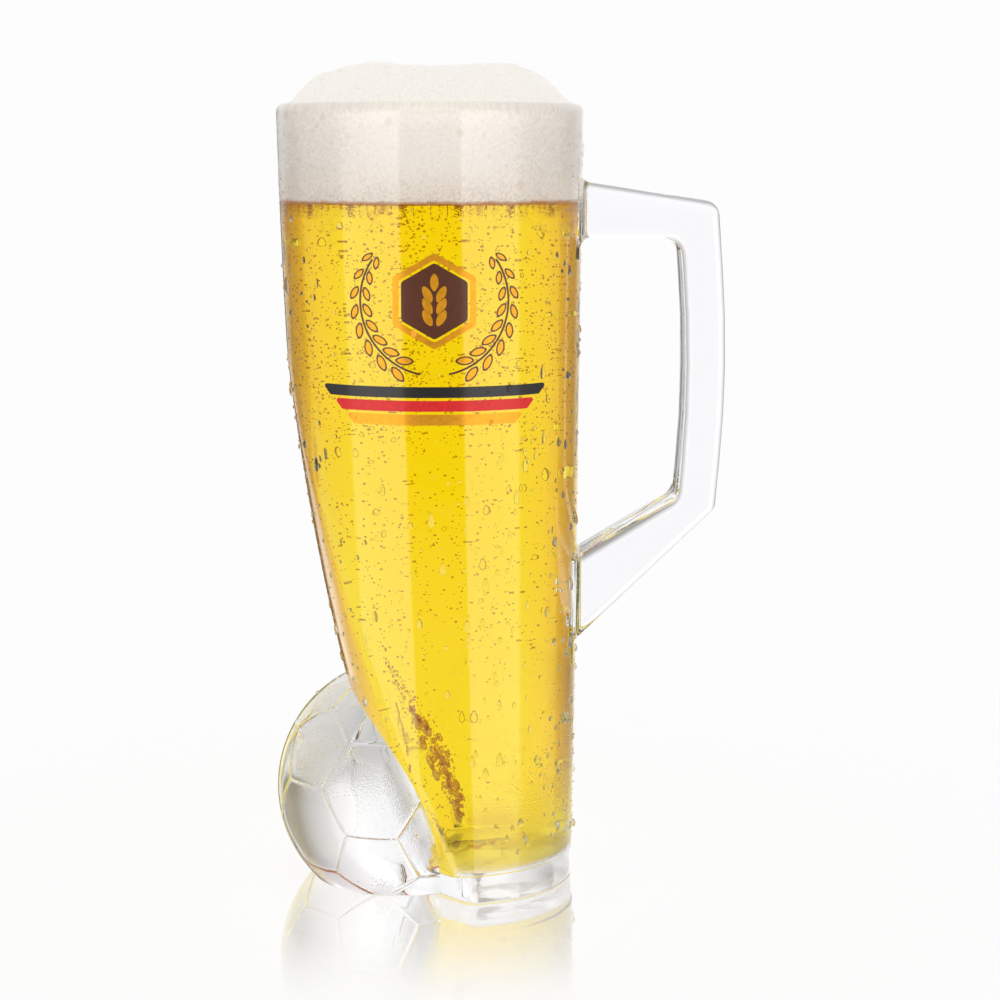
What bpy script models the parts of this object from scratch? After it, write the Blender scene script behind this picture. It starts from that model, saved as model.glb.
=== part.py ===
import math

import bmesh
import bpy
from mathutils import Matrix, Vector

# Cup, a leg that leans from its foot to its rim
MUG_HEIGHT = 0.2027
RIM_X = -0.01726
RIM_RADIUS = 0.0394
FOOT_X = -0.01276
FOOT_RADIUS = 0.0328
LEG_BEND = 1.6
FACET_COUNT = 16
FACET_ROUND = 0.8
RIM_BAND = 0.006
WALL = 0.0042
BASE_THICKNESS = 0.0072
BASE_ROUND = 0.0032
FOOT_BAND = 0.0074
FOOT_STEP = 0.0004
FOOT_EDGE = 0.0008

# Hollow shin at the front of the leg, turned about an upright axis
SHIN_AXIS_X = 0.0171
SHIN_FOOT_X = -0.0229
SHIN_REACH = 0.0463
SHIN_LENGTH = 0.124
SHIN_POWER = 0.96
RIDGE_ROUND = 0.008

# Ball
BALL_X = -0.02501
BALL_HEIGHT = 0.0236
BALL_RADIUS = 0.0335
BALL_TURN = math.radians(3.8)
SEAM_WIDTH = 0.0011
SEAM_DEPTH = 0.0006

# Handle, a flat plate bent round the finger gap
HANDLE_DEPTH = 0.019
HANDLE_EDGE = 0.0025
HANDLE_REACH = 0.06014
HANDLE_MIDDLE_BELOW_RIM = 0.0667
GRIP_THICKNESS = 0.0108
GRIP_BOW = 0.0033
TOP_ARM_BELOW_RIM = 0.0195
TOP_ARM_DROP = 0.0054
TOP_ARM_THICKNESS = 0.0144
LOW_CORNER_BELOW_RIM = 0.1041
LOW_ROOT_BELOW_RIM = 0.139
LOW_ROOT_HEIGHT = 0.0217
GAP_LOW_BELOW_RIM = 0.1011
PAD_THICKNESS = 0.0016
PAD_FLARE = 0.0022
ROOT_ROUND = 0.0014
GAP_ROOT_ROUND = 0.0007
TOP_CORNER_ROUND = 0.0042
LOW_CORNER_ROUND = 0.0032
GAP_TOP_ROUND = 0.0048
GAP_LOW_ROUND = 0.0038
GRIP_ROUND = 0.38

# Drink
BEER_BELOW_RIM = 0.0242
FOAM_RISE = 0.0096
FOAM_SHOULDER = 8.0
FOAM_SLOPE = 1.9
FOAM_SPAN = 0.96
FOAM_LUMP = 0.0005
FOAM_LUMP_PITCH = 0.029
FOAM_LUMP_X = -0.03096

# Print
PRINT_X = -0.01626
PRINT_THICKNESS = 0.0003
EMBLEM_BELOW_RIM = 0.0482
FIELD_RADIUS = 0.0094
EMBLEM_RING_INNER = 0.0101
EMBLEM_RING_OUTER = 0.0118
EAR_ARC = 0.0182
EAR_WIDTH = 0.0068
EAR_KERNELS = 7
EAR_WAIST = 0.5
EAR_TIP = 0.1
EAR_STALK = 0.35
EAR_START = math.radians(250)
EAR_END = math.radians(140)
BAR_BELOW_RIM = 0.0692
BAR_HEIGHT = 0.0027
BAR_PITCH = 0.0034
BAR_LENGTH = 0.056
BAR_SHORTER = 0.006
BAR_SLANT = 0.002

# Clearances between neighbours
GLASS_GAP = 0.0003
DRINK_GAP = 0.0003
PRINT_GAP = 0.0003

# How finely the round shapes are divided
FACET_STEPS = 4
LEG_LEVELS = 18
LEVEL_SPREAD = 1.4
LIP_STEPS = 6
FILLET_STEPS = 4
DOME_STEPS = 9
PANEL_CUTS = 3
ARC_STEP = math.radians(15)
CUTTER_REACH = 0.02

FACET_ANGLE = 2 * math.pi / FACET_COUNT
RING_STEPS = FACET_COUNT * FACET_STEPS
LIP_RADIUS = WALL / 2
TOP_ARM_Z = MUG_HEIGHT - TOP_ARM_BELOW_RIM
HANDLE_MIDDLE_Z = MUG_HEIGHT - HANDLE_MIDDLE_BELOW_RIM
GAP_LOW_Z = MUG_HEIGHT - GAP_LOW_BELOW_RIM
LOW_CORNER_Z = MUG_HEIGHT - LOW_CORNER_BELOW_RIM
LOW_ROOT_Z = MUG_HEIGHT - LOW_ROOT_BELOW_RIM
BEER_LEVEL = MUG_HEIGHT - BEER_BELOW_RIM
EMBLEM_Z = MUG_HEIGHT - EMBLEM_BELOW_RIM
BAR_TOP_Z = MUG_HEIGHT - BAR_BELOW_RIM
PRINT_NEAR = RIM_RADIUS / 4
PRINT_FAR = RIM_RADIUS + CUTTER_REACH


def lerp(low, high, share):
    return low + (high - low) * share


def smooth_min(first, second, blend):
    if blend <= 1e-6:
        return min(first, second)
    share = max(blend - abs(first - second), 0.0) / blend
    return min(first, second) - share * share * blend / 4


def leg(z):
    share = z / MUG_HEIGHT
    centre = lerp(FOOT_X, RIM_X, 1 - (1 - share) ** LEG_BEND)
    heel = lerp(FOOT_X + FOOT_RADIUS, RIM_X + RIM_RADIUS, share)
    return centre, heel - centre


def shin(z):
    return SHIN_FOOT_X - SHIN_REACH * (1 - math.exp(-z / SHIN_LENGTH)) ** SHIN_POWER


def facet_point(step, radius, inset, roundness):
    corner, part = divmod(step, FACET_STEPS)
    corner_radius = radius / math.sqrt(math.cos(FACET_ANGLE / 2)) - inset / math.cos(FACET_ANGLE / 2)
    first = (corner - 0.5) * FACET_ANGLE
    last = (corner + 0.5) * FACET_ANGLE
    start = Vector((math.cos(first), math.sin(first))) * corner_radius
    end = Vector((math.cos(last), math.sin(last))) * corner_radius
    flat = start.lerp(end, part / FACET_STEPS)
    return flat.lerp(flat.normalized() * (radius - inset), roundness)


def ring(z, inset=0.0, roundness=FACET_ROUND):
    level = min(max(z, 0.0), MUG_HEIGHT)
    centre, radius = leg(level)
    shin_radius = SHIN_AXIS_X - shin(level) - inset
    middle = Vector((0.5 * (max(shin(level), centre - radius) + centre + radius), 0.0))
    from_axis = middle.x - SHIN_AXIS_X
    blend = RIDGE_ROUND * (1 - level / MUG_HEIGHT)
    points = []
    for step in range(RING_STEPS):
        ray = facet_point(step, radius, inset, roundness) + Vector((centre, 0.0)) - middle
        way = ray.normalized()
        along = from_axis * way.x
        to_shin = math.sqrt(along * along - from_axis * from_axis + shin_radius * shin_radius) - along
        point = middle + way * smooth_min(ray.length, to_shin, blend)
        points.append(Vector((point.x, point.y, z)))
    return points


def leg_levels(low, high):
    return [lerp(low, high, (step / LEG_LEVELS) ** LEVEL_SPREAD) for step in range(LEG_LEVELS + 1)]


def outer_rings(inset):
    rings = [ring(z, inset) for z in leg_levels(FOOT_BAND + FOOT_STEP, MUG_HEIGHT - LIP_RADIUS - RIM_BAND)]
    rings.append(ring(MUG_HEIGHT - LIP_RADIUS, inset, 1.0))
    return rings


def inner_rings(clearance):
    inset = WALL + clearance
    floor = BASE_THICKNESS + clearance
    rings = []
    for step in range(FILLET_STEPS):
        angle = step / FILLET_STEPS * math.pi / 2
        z = floor + BASE_ROUND * (1 - math.cos(angle))
        rings.append(ring(z, inset + BASE_ROUND * (1 - math.sin(angle)), 1.0))
    rings.extend(ring(z, inset, 1.0) for z in leg_levels(floor + BASE_ROUND, BEER_LEVEL))
    return rings


def lip_rings(radius, first_angle, last_angle):
    rings = []
    for step in range(1, LIP_STEPS):
        angle = lerp(first_angle, last_angle, step / LIP_STEPS)
        z = MUG_HEIGHT - LIP_RADIUS + radius * math.sin(angle)
        rings.append(ring(z, LIP_RADIUS - radius * math.cos(angle), 1.0))
    return rings


def skin(rings, looped=False):
    bm = bmesh.new()
    rows = [[bm.verts.new(point) for point in points] for points in rings]
    pairs = list(zip(rows, rows[1:]))
    if looped:
        pairs.append((rows[-1], rows[0]))
    for lower, upper in pairs:
        for step in range(len(lower)):
            after = (step + 1) % len(lower)
            bm.faces.new((lower[step], lower[after], upper[after], upper[step]))
    if not looped:
        bm.faces.new(rows[0][::-1])
        bm.faces.new(rows[-1])
    bmesh.ops.recalc_face_normals(bm, faces=bm.faces)
    return bm


def paint(name, color, roughness, transmission=0.0):
    material = bpy.data.materials.new(name)
    material.use_nodes = True
    shader = material.node_tree.nodes["Principled BSDF"]
    shader.inputs["Base Color"].default_value = (*color, 1.0)
    shader.inputs["Roughness"].default_value = roughness
    shader.inputs["Metallic"].default_value = 0.0
    shader.inputs["Transmission Weight"].default_value = transmission
    material.diffuse_color = (*color, 1.0)
    return material


def add(name, bm, material=None):
    mesh = bpy.data.meshes.new(name)
    bm.to_mesh(mesh)
    bm.free()
    if material:
        mesh.materials.append(material)
    obj = bpy.data.objects.new(name, mesh)
    bpy.context.scene.collection.objects.link(obj)
    return obj


def add_cutter(name, bm):
    obj = add(name, bm)
    obj.hide_render = True
    obj.display_type = "WIRE"
    return obj


def combine(obj, other, operation):
    modifier = obj.modifiers.new(operation.lower(), "BOOLEAN")
    modifier.operation = operation
    modifier.solver = "EXACT"
    modifier.object = other


def rounded(corners):
    outline = []
    for place, (corner, radius) in enumerate(corners):
        before = (corners[place - 1][0] - corner).normalized()
        after = (corners[(place + 1) % len(corners)][0] - corner).normalized()
        if radius == 0:
            outline.append(corner)
            continue
        half = before.angle(after) / 2
        centre = corner + (before + after).normalized() * (radius / math.sin(half))
        start = corner + before * (radius / math.tan(half)) - centre
        turn = math.pi - 2 * half
        side = 1 if before.cross(after) < 0 else -1
        steps = max(math.ceil(turn / ARC_STEP), 3)
        for step in range(steps + 1):
            outline.append(centre + Matrix.Rotation(side * turn * step / steps, 2) @ start)
    return outline


def plate(outline, near, far):
    bm = bmesh.new()
    front = [bm.verts.new((point.x, near, point.y)) for point in outline]
    back = [bm.verts.new((point.x, far, point.y)) for point in outline]
    for step in range(len(outline)):
        after = (step + 1) % len(outline)
        bm.faces.new((front[step], front[after], back[after], back[step]))
    rims = [bm.faces.new(front[::-1]), bm.faces.new(back)]
    bmesh.ops.recalc_face_normals(bm, faces=bm.faces)
    return bm, rims


def handle_corners():
    heel = [leg(z)[0] + leg(z)[1] for z in (TOP_ARM_Z, LOW_ROOT_Z)]
    top_pad = heel[0] + PAD_THICKNESS
    low_pad = heel[1] + PAD_THICKNESS
    top_inside = heel[0] - WALL
    low_inside = heel[1] - WALL
    gap_top = TOP_ARM_Z - TOP_ARM_THICKNESS
    gap_root = LOW_ROOT_Z + LOW_ROOT_HEIGHT
    grip = HANDLE_REACH - GRIP_BOW
    gap_reach = HANDLE_REACH - GRIP_THICKNESS
    gap_side = gap_reach - GRIP_BOW / 2
    return [
        (Vector((top_inside, TOP_ARM_Z + PAD_FLARE)), 0),
        (Vector((top_pad, TOP_ARM_Z + PAD_FLARE)), 0),
        (Vector((top_pad, TOP_ARM_Z)), ROOT_ROUND),
        (Vector((grip, TOP_ARM_Z - TOP_ARM_DROP)), TOP_CORNER_ROUND),
        (Vector((HANDLE_REACH, HANDLE_MIDDLE_Z)), GRIP_ROUND),
        (Vector((grip, LOW_CORNER_Z)), LOW_CORNER_ROUND),
        (Vector((low_pad, LOW_ROOT_Z)), ROOT_ROUND),
        (Vector((low_pad, LOW_ROOT_Z - PAD_FLARE)), 0),
        (Vector((low_inside, LOW_ROOT_Z - PAD_FLARE)), 0),
        (Vector((low_inside, gap_root + PAD_FLARE)), 0),
        (Vector((low_pad, gap_root + PAD_FLARE)), 0),
        (Vector((low_pad, gap_root)), GAP_ROOT_ROUND),
        (Vector((gap_side, GAP_LOW_Z)), GAP_LOW_ROUND),
        (Vector((gap_reach, HANDLE_MIDDLE_Z)), GRIP_ROUND),
        (Vector((gap_side, gap_top)), GAP_TOP_ROUND),
        (Vector((top_pad, gap_top)), ROOT_ROUND),
        (Vector((top_pad, gap_top - PAD_FLARE)), 0),
        (Vector((top_inside, gap_top - PAD_FLARE)), 0),
    ]


def make_body(material):
    foot = [
        ring(0.0, FOOT_STEP + FOOT_EDGE),
        ring(FOOT_EDGE, FOOT_STEP),
        ring(FOOT_BAND, FOOT_STEP),
    ]
    lip = lip_rings(LIP_RADIUS, 0.0, math.pi)
    inside = inner_rings(0.0) + [ring(MUG_HEIGHT - LIP_RADIUS, WALL, 1.0)]
    add("glass_body", skin(foot + outer_rings(0.0) + lip + inside[::-1]), material)


def make_envelope():
    below = [ring(-CUTTER_REACH, -GLASS_GAP), ring(0.0, -GLASS_GAP)]
    above = ring(MUG_HEIGHT + CUTTER_REACH, -GLASS_GAP, 1.0)
    return add_cutter("leg_envelope", skin(below + outer_rings(-GLASS_GAP) + [above]))


def make_shin_solid():
    rings = []
    for z in [-CUTTER_REACH] + leg_levels(0.0, BALL_HEIGHT + BALL_RADIUS + CUTTER_REACH):
        radius = SHIN_AXIS_X - shin(max(z, 0.0)) + GLASS_GAP
        points = []
        for step in range(RING_STEPS):
            angle = 2 * math.pi * step / RING_STEPS
            points.append(Vector((SHIN_AXIS_X + radius * math.cos(angle), radius * math.sin(angle), z)))
        rings.append(points)
    return add_cutter("shin_solid", skin(rings))


def make_ball(material):
    bm = bmesh.new()
    seam = bm.verts.layers.float.new("seam")
    bmesh.ops.create_icosphere(bm, subdivisions=1, radius=BALL_RADIUS)
    third = bm.edges[:][0].calc_length() / 3
    bmesh.ops.bevel(bm, geom=bm.verts[:], offset=third, offset_type="OFFSET", segments=1, affect="VERTICES")
    corners = set(bm.verts)
    bmesh.ops.inset_individual(bm, faces=bm.faces[:], thickness=SEAM_WIDTH / 2)
    bmesh.ops.poke(bm, faces=[face for face in bm.faces if not corners.intersection(face.verts)])
    for vert in corners:
        vert[seam] = 1.0
    along = [edge for edge in bm.edges if len(corners.intersection(edge.verts)) != 1]
    bmesh.ops.subdivide_edges(bm, edges=along, cuts=PANEL_CUTS, use_grid_fill=True)
    for vert in bm.verts:
        vert.co = vert.co.normalized() * (BALL_RADIUS - SEAM_DEPTH * vert[seam])
    place = Matrix.Translation((BALL_X, 0.0, BALL_HEIGHT)) @ Matrix.Rotation(BALL_TURN, 4, "Z")
    bmesh.ops.transform(bm, matrix=place, verts=bm.verts)
    parts = bm.verts[:] + bm.edges[:] + bm.faces[:]
    cut = bmesh.ops.bisect_plane(bm, geom=parts, plane_co=(0, 0, 0), plane_no=(0, 0, 1), clear_inner=True)
    edges = [part for part in cut["geom_cut"] if isinstance(part, bmesh.types.BMEdge)]
    bmesh.ops.edgeloop_fill(bm, edges=edges)
    bmesh.ops.recalc_face_normals(bm, faces=bm.faces)
    ball = add("glass_ball", bm, material)
    combine(ball, make_shin_solid(), "DIFFERENCE")


def make_handle(material, envelope):
    bm, sides = plate(rounded(handle_corners()), -HANDLE_DEPTH / 2, HANDLE_DEPTH / 2)
    edges = list({edge for face in sides for edge in face.edges})
    bmesh.ops.bevel(bm, geom=edges, offset=HANDLE_EDGE, segments=3, profile=0.5, affect="EDGES")
    handle = add("glass_handle", bm, material)
    combine(handle, envelope, "DIFFERENCE")


def make_beer(material):
    add("beer", skin(inner_rings(DRINK_GAP)), material)


def make_foam(material):
    low = BEER_LEVEL + DRINK_GAP
    high = MUG_HEIGHT - LIP_RADIUS
    rings = [ring(z, WALL + DRINK_GAP, 1.0) for z in (low, high)]
    rings += lip_rings(LIP_RADIUS + DRINK_GAP, math.pi, math.pi / 2)
    base = MUG_HEIGHT + DRINK_GAP
    for step in range(DOME_STEPS):
        share = math.cos(FOAM_SPAN * step / DOME_STEPS * math.pi / 2)
        dome = 1 - share ** FOAM_SHOULDER
        points = []
        for turn in range(RING_STEPS):
            angle = (turn / FACET_STEPS - 0.5) * FACET_ANGLE
            x = RIM_X + (RIM_RADIUS - LIP_RADIUS) * share * math.cos(angle)
            y = (RIM_RADIUS - LIP_RADIUS) * share * math.sin(angle)
            lump = math.cos(2 * math.pi * (x - FOAM_LUMP_X) / FOAM_LUMP_PITCH)
            lump += math.cos(2 * math.pi * y / FOAM_LUMP_PITCH)
            points.append(Vector((x, y, base + FOAM_RISE * dome ** FOAM_SLOPE + FOAM_LUMP * lump * dome)))
        rings.append(points)
    add("foam_head", skin(rings), material)


def make_print_shell():
    levels = leg_levels(BAR_TOP_Z - 4 * BAR_PITCH, EMBLEM_Z + EAR_ARC + EAR_WIDTH)
    inner = [ring(z, -PRINT_GAP) for z in levels]
    outer = [ring(z, -PRINT_GAP - PRINT_THICKNESS) for z in levels]
    return add_cutter("print_shell", skin(outer + inner[::-1], looped=True))


def make_print(name, outline, material, shell):
    obj = add(name, plate(outline, -PRINT_FAR, -PRINT_NEAR)[0], material)
    combine(obj, shell, "INTERSECT")


def hexagon(radius, z):
    points = []
    for corner in range(6):
        angle = math.pi / 6 + corner * math.pi / 3
        points.append(Vector((PRINT_X + radius * math.cos(angle), z + radius * math.sin(angle))))
    return points


def make_hexagon_ring(name, inner, outer, z, material, shell):
    around = hexagon(outer, z)
    hole = hexagon(inner, z)
    bm = bmesh.new()
    rows = []
    for outline, y in ((around, PRINT_NEAR), (around, PRINT_FAR), (hole, PRINT_FAR), (hole, PRINT_NEAR)):
        rows.append([bm.verts.new((point.x, -y, point.y)) for point in outline])
    for row, after in zip(rows, rows[1:] + rows[:1]):
        for step in range(6):
            last = (step + 1) % 6
            bm.faces.new((row[step], row[last], after[last], after[step]))
    bmesh.ops.recalc_face_normals(bm, faces=bm.faces)
    combine(add(name, bm, material), shell, "INTERSECT")


def ear(mirror):
    steps = EAR_KERNELS * 4
    edges = ([], [])
    for step in range(steps + 1):
        share = step / steps
        angle = lerp(EAR_START, EAR_END, share)
        bulge = lerp(EAR_WAIST, 1.0, abs(math.sin(math.pi * EAR_KERNELS * share)))
        taper = math.sqrt(lerp(1.0, EAR_TIP, share)) * min(1.0, EAR_STALK + 2 * share)
        half = EAR_WIDTH / 2 * bulge * taper
        for edge, radius in zip(edges, (EAR_ARC + half, EAR_ARC - half)):
            x = PRINT_X + mirror * radius * math.cos(angle)
            edge.append(Vector((x, EMBLEM_Z + radius * math.sin(angle))))
    return edges[0] + edges[1][::-1]


def bar(place):
    top = BAR_TOP_Z - place * BAR_PITCH
    half = (BAR_LENGTH - place * BAR_SHORTER) / 2
    return [
        Vector((PRINT_X - half, top)),
        Vector((PRINT_X + half, top)),
        Vector((PRINT_X + half - BAR_SLANT, top - BAR_HEIGHT)),
        Vector((PRINT_X - half + BAR_SLANT, top - BAR_HEIGHT)),
    ]


def make_prints():
    shell = make_print_shell()
    brown = paint("brown_enamel", (0.16, 0.05, 0.012), 0.4)
    make_print("print_field", hexagon(FIELD_RADIUS, EMBLEM_Z), brown, shell)
    ring_gold = paint("ring_gold_enamel", (0.72, 0.33, 0.02), 0.4)
    make_hexagon_ring("print_ring", EMBLEM_RING_INNER, EMBLEM_RING_OUTER, EMBLEM_Z, ring_gold, shell)
    for name, mirror in (("print_ear_left", 1), ("print_ear_right", -1)):
        make_print(name, ear(mirror), paint(name + "_enamel", (0.30, 0.11, 0.02), 0.4), shell)
    bars = (
        ("print_bar_black", (0.012, 0.011, 0.01)),
        ("print_bar_red", (0.72, 0.012, 0.012)),
        ("print_bar_gold", (0.80, 0.36, 0.02)),
    )
    for place, (name, color) in enumerate(bars):
        make_print(name, bar(place), paint(name + "_enamel", color, 0.4), shell)


def main():
    for obj in list(bpy.data.objects):
        bpy.data.objects.remove(obj)
    glass = (0.86, 0.89, 0.9)
    envelope = make_envelope()
    make_body(paint("body_glass", glass, 0.03, 1.0))
    make_ball(paint("ball_glass", glass, 0.05, 1.0))
    make_handle(paint("handle_glass", glass, 0.03, 1.0), envelope)
    make_beer(paint("beer", (0.93, 0.56, 0.01), 0.02))
    make_foam(paint("foam", (0.83, 0.8, 0.74), 0.75))
    make_prints()


main()
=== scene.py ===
import math
import random
from functools import partial

import bmesh
import bpy
import numpy as np
from mathutils import Matrix, Vector, noise
from mathutils.bvhtree import BVHTree


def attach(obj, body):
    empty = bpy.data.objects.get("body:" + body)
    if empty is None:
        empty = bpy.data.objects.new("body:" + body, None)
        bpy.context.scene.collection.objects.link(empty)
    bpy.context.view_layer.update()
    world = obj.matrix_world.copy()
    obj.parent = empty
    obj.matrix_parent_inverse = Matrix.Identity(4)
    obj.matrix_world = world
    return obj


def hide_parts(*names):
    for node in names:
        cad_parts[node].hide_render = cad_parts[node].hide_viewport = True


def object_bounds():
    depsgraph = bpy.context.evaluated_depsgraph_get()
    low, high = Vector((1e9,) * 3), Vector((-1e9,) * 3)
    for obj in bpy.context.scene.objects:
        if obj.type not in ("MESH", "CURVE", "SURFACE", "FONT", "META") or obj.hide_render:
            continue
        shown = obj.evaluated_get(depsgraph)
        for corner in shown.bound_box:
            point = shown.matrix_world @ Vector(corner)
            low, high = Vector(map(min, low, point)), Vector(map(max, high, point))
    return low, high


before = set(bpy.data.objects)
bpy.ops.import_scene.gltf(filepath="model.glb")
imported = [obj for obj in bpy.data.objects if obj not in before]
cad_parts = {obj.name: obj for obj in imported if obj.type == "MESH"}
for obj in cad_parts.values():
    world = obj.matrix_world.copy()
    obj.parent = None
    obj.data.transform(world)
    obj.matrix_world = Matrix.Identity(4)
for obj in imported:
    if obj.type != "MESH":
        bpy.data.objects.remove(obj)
cadLow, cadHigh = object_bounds()
bpy.ops.object.select_all(action="DESELECT")
random.seed(11)
print("frame loaded,", len(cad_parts), "CAD nodes")


# small helpers

def hexColor(text):
    channels = [int(text[place:place + 2], 16) / 255 for place in (1, 3, 5)]
    linear = [c / 12.92 if c <= 0.04045 else ((c + 0.055) / 1.055) ** 2.4 for c in channels]
    return (*linear, 1.0)


# an input takes a value, a socket, or a node, whose first live output is then linked
def addNode(tree, kind, inputs=None, **settings):
    node = tree.nodes.new("ShaderNode" + kind)
    for name, value in settings.items():
        setattr(node, name, value)
    for name, value in (inputs or {}).items():
        if isinstance(value, bpy.types.Node):
            value = next(socket for socket in value.outputs if socket.enabled)
        if isinstance(value, bpy.types.NodeSocket):
            tree.links.new(value, node.inputs[name])
        else:
            node.inputs[name].default_value = value
    return node


def newMaterial(name):
    material = bpy.data.materials.new(name)
    material.use_nodes = True
    material.node_tree.nodes.clear()
    return material, partial(addNode, material.node_tree)


def lerp(low, high, share):
    return low + (high - low) * share


# even shares up to 1
def shares(steps, first=0):
    return [step / steps for step in range(first, steps + 1)]


def smoothStep(share):
    share = min(max(share, 0.0), 1.0)
    return share * share * (3 - 2 * share)


def editMode():
    bpy.ops.object.mode_set(mode="EDIT")


def objectMode():
    bpy.ops.object.mode_set(mode="OBJECT")


def deselect():
    bpy.ops.object.select_all(action="DESELECT")


def selectMesh():
    bpy.ops.mesh.select_all(action="SELECT")


def faceOutwards():
    selectMesh()
    bpy.ops.mesh.normals_make_consistent(inside=False)


def takeOnly(piece):
    deselect()
    piece.select_set(True)
    bpy.context.view_layer.objects.active = piece


def applyBoolean(piece, other, operation):
    takeOnly(piece)
    modifier = piece.modifiers.new(operation.lower(), "BOOLEAN")
    modifier.operation = operation
    modifier.solver = "MANIFOLD"
    modifier.object = other
    bpy.ops.object.modifier_apply(modifier=modifier.name)
    bpy.data.objects.remove(other)


def finishPiece(piece, name, material, nodes, angle=35):
    piece.name = name
    piece.data.name = name
    piece.data.materials.clear()
    piece.data.materials.append(material)
    takeOnly(piece)
    bpy.ops.object.shade_smooth_by_angle(angle=math.radians(angle))
    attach(piece, "root")
    if nodes:
        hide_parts(*nodes)
    deselect()
    print("made", name, len(piece.data.polygons), "faces")


weld = {"sheet": 1e-6, "casting": 4e-6, "sliver": 2e-6}  # points closer than this are merged


# a sheet of quads wrapped round the rings, ends filled
def wrapSheet(rings, looped=False):
    around = len(rings[0])
    if looped:
        rings = rings + rings[:1]
    deselect()
    bpy.ops.mesh.primitive_grid_add(x_subdivisions=around, y_subdivisions=len(rings) - 1, size=1)
    piece = bpy.context.object
    places = np.concatenate([np.vstack([row, row[:1]]) for row in rings])
    piece.data.vertices.foreach_set("co", places.astype(np.float32).ravel())
    editMode()
    selectMesh()
    bpy.ops.mesh.remove_doubles(threshold=weld["sheet"])
    if not looped:
        bpy.ops.mesh.select_all(action="DESELECT")
        bpy.ops.mesh.select_mode(type="EDGE")
        bpy.ops.mesh.select_non_manifold()
        bpy.ops.mesh.edge_face_add()
    faceOutwards()
    objectMode()
    return piece


# copies of one modelled seed, each at its own place, joined to one piece
def copySeed(seed, places):
    deselect()
    for place in places:
        copy = seed.copy()
        copy.data = seed.data.copy()
        copy.data.transform(place)
        bpy.context.collection.objects.link(copy)
        copy.select_set(True)
        bpy.context.view_layer.objects.active = copy
    bpy.ops.object.join()
    bpy.data.objects.remove(seed)
    return bpy.context.object


# camera, the photograph's own view

camera = {
    "place": (-0.01491, -0.624, 0.1915), "down": 8.344, "right": 1.432, "lens": 86.4, "sensor": 36,
    "nearest": 0.01, "lightTurns": 24, "mirrorTurns": 20,
}


def makeCamera():
    bpy.ops.object.camera_add(location=camera["place"])
    lens = bpy.context.object
    lens.rotation_euler = (math.radians(90 - camera["down"]), 0, math.radians(-camera["right"]))
    lens.data.sensor_width = camera["sensor"]
    lens.data.lens = camera["lens"]
    lens.data.clip_start = camera["nearest"]
    bpy.context.scene.camera = lens
    bpy.context.scene.view_settings.view_transform = "Standard"
    light = bpy.context.scene.cycles
    light.blur_glossy = 0.0  # light comes through clear glass unblurred
    # light may turn often inside the thick glass before it leaves
    light.max_bounces = light.transmission_bounces = camera["lightTurns"]
    light.glossy_bounces = camera["mirrorTurns"]
    print("camera set")


makeCamera()

# the cup's form: a leaning sixteen-sided leg, hollowed along the shin

cup = {
    "height": 0.2027, "rimX": -0.01726, "rimRadius": 0.0394, "footX": -0.01276, "footRadius": 0.0328,
    "bend": 1.6, "facets": 16, "rimBand": 0.006, "wall": 0.0042, "floor": 0.0072, "floorRound": 0.0022,
    "footBand": 0.0074, "footStep": 0.0004, "footEdge": 0.0008, "cornerSoft": 0.0003,
    "shinAxis": 0.0171, "shinFoot": -0.0229, "shinReach": 0.0463, "shinLength": 0.124, "shinPower": 0.96,
    "ridgeEdge": 0.0015, "ridgeRound": 0.009, "facetRound": 0.8, "levels": 96, "innerLevels": 72,
    "lipSteps": 10, "roundSteps": 8, "edgeSteps": 4, "dryLevels": 12, "coreBeyond": 0.02, "coreSkip": 3,
    "beerLevel": 0.1785,
}
facetAngle = 2 * math.pi / cup["facets"]
lipRadius = cup["wall"] / 2
# places along one flat side, close together near its corners
alongFlat = (
    -0.5, -0.484, -0.468, -0.448, -0.425, -0.3, -0.15, 0, 0.15, 0.3, 0.425, 0.448, 0.468, 0.484,
)
aroundAngles = np.array([
    facet * facetAngle + math.atan(2 * share * math.tan(facetAngle / 2))
    for facet in range(cup["facets"]) for share in alongFlat
])


def legAt(z):
    share = z / cup["height"]
    centre = lerp(cup["footX"], cup["rimX"], 1 - (1 - share) ** cup["bend"])
    heel = lerp(cup["footX"] + cup["footRadius"], cup["rimX"] + cup["rimRadius"], share)
    return centre, heel - centre


def shinAt(z):
    return cup["shinFoot"] - cup["shinReach"] * (1 - math.exp(-z / cup["shinLength"])) ** cup["shinPower"]


def softMin(first, second, blend):
    share = np.maximum(blend - np.abs(first - second), 0) / max(blend, 1e-9)
    return np.minimum(first, second) - share * share * blend / 4


def cupRing(z, inset=0.0, roundness=cup["facetRound"], ridge=cup["ridgeEdge"]):
    level = min(max(z, 0.0), cup["height"])
    centre, radius = legAt(level)
    apothem = radius * math.sqrt(math.cos(facetAngle / 2)) - inset
    fromMiddle = aroundAngles - np.round(aroundAngles / facetAngle) * facetAngle
    nextFlat = apothem / np.cos(facetAngle - np.abs(fromMiddle))
    flat = softMin(apothem / np.cos(fromMiddle), nextFlat, cup["cornerSoft"])
    reach = lerp(flat, radius - inset, roundness)
    middle = 0.5 * (max(shinAt(level), centre - radius) + centre + radius)
    rayX = centre + reach * np.cos(aroundAngles) - middle
    rayY = reach * np.sin(aroundAngles)
    length = np.hypot(rayX, rayY)
    fromAxis = middle - cup["shinAxis"]
    shinRadius = cup["shinAxis"] - shinAt(level) - inset
    along = fromAxis * rayX / length
    toShin = np.sqrt(along * along - fromAxis * fromAxis + shinRadius * shinRadius) - along
    share = softMin(length, toShin, ridge * (1 - level / cup["height"])) / length
    return np.stack([middle + rayX * share, rayY * share, np.full(len(length), z)], axis=1)


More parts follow.
